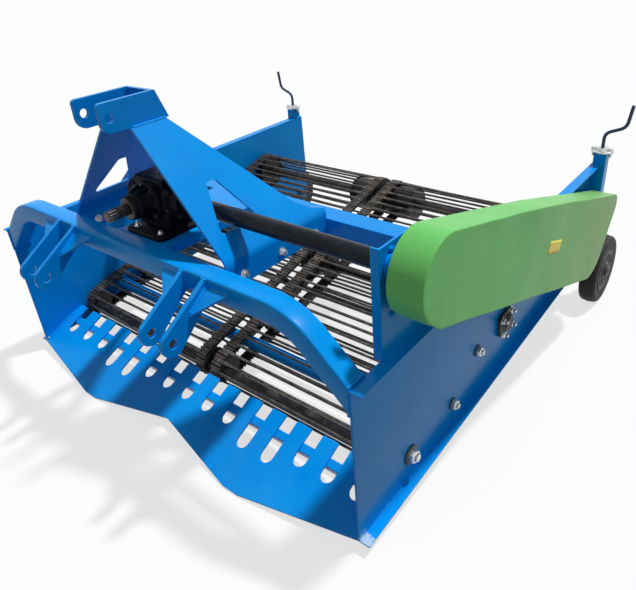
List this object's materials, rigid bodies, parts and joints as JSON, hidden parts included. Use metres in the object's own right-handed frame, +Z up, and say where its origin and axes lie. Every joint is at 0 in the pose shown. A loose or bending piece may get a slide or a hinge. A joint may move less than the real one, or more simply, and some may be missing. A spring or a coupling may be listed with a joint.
{
  "type": "mounted potato digger",
  "caption": "Tractor-mounted potato digger: slotted shovel feeding a rod conveyor between side plates, shaft-driven through a gearbox and covered chain, on height-adjustable rear wheels.",
  "frame": {"origin": "middle of the machine's outline on the floor", "axes": "+X to the drive-cover side, +Y to the rear (it is pulled towards -Y), +Z up"},
  "size_m": [1.905, 2.048, 1.1415],
  "materials": {
    "blue_paint": "gloss",
    "green_paint": "satin",
    "black_casting": "painted",
    "worn_steel": "worn, oiled",
    "black_paint": "satin",
    "grey_casting": "bare",
    "zinc": "zinc plated",
    "dark_blue_paint": "satin",
    "tyre": "matt",
    "wheel_hub": "worn"
  },
  "bodies": {
    "frame": {"side_plate_left": "blue_paint", "side_plate_right": "blue_paint", "shovel": "blue_paint", "shovel_beam": "blue_paint", "hitch_bar": "blue_paint", "lower_lugs_left": "blue_paint", "lower_lugs_right": "blue_paint", "frame_rails": "blue_paint", "cross_beam": "blue_paint", "mast_plate_left": "blue_paint", "mast_plate_right": "blue_paint", "top_clevis": "blue_paint", "gearbox_base": "blue_paint", "gearbox": "black_casting", "shaft_tube": "black_paint", "cross_shaft": "worn_steel", "bearing_tower": "blue_paint", "shaft_bearing": "black_casting", "drive_cover": "green_paint", "cover_studs": "zinc", "upper_sprocket": "worn_steel", "lower_sprocket": "worn_steel", "drive_chain": "worn_steel", "web_left": "worn_steel", "web_right": "worn_steel", "drive_shaft": "black_paint", "front_roll": "black_paint", "upper_idlers": "black_paint", "return_idlers": "black_paint", "agitator": "black_paint", "plate_bearings": "grey_casting", "loop_tube": "blue_paint", "guide_left": "blue_paint", "guide_right": "blue_paint", "jack_heads": "zinc", "crank_left": "dark_blue_paint", "crank_right": "dark_blue_paint"},
    "input": {"input_shaft": "worn_steel"},
    "leg_left": {"leg_left": "blue_paint"},
    "wheel_left": {"tyre_left": "tyre", "hub_left": "wheel_hub"},
    "leg_right": {"leg_right": "blue_paint"},
    "wheel_right": {"tyre_right": "tyre", "hub_right": "wheel_hub"}
  },
  "joints": [
    {"name": "input_turn", "type": "hinge", "parent": "frame", "child": "input", "pos_m": [0, -0.86292, 0.81305], "axis": [0, 0.9992, 0.0389], "continuous": true},
    {"name": "leg_left_height", "type": "slide", "parent": "frame", "child": "leg_left", "axis": [0, -0.0389, 0.9992], "range_m": [-0.1, 0.03]},
    {"name": "wheel_left_turn", "type": "hinge", "parent": "leg_left", "child": "wheel_left", "pos_m": [-0.909, 0.86902, 0.155], "axis": [1, 0, 0], "continuous": true},
    {"name": "leg_right_height", "type": "slide", "parent": "frame", "child": "leg_right", "axis": [0, -0.0389, 0.9992], "range_m": [-0.1, 0.03]},
    {"name": "wheel_right_turn", "type": "hinge", "parent": "leg_right", "child": "wheel_right", "pos_m": [0.909, 0.86902, 0.155], "axis": [1, 0, 0], "continuous": true}
  ]
}
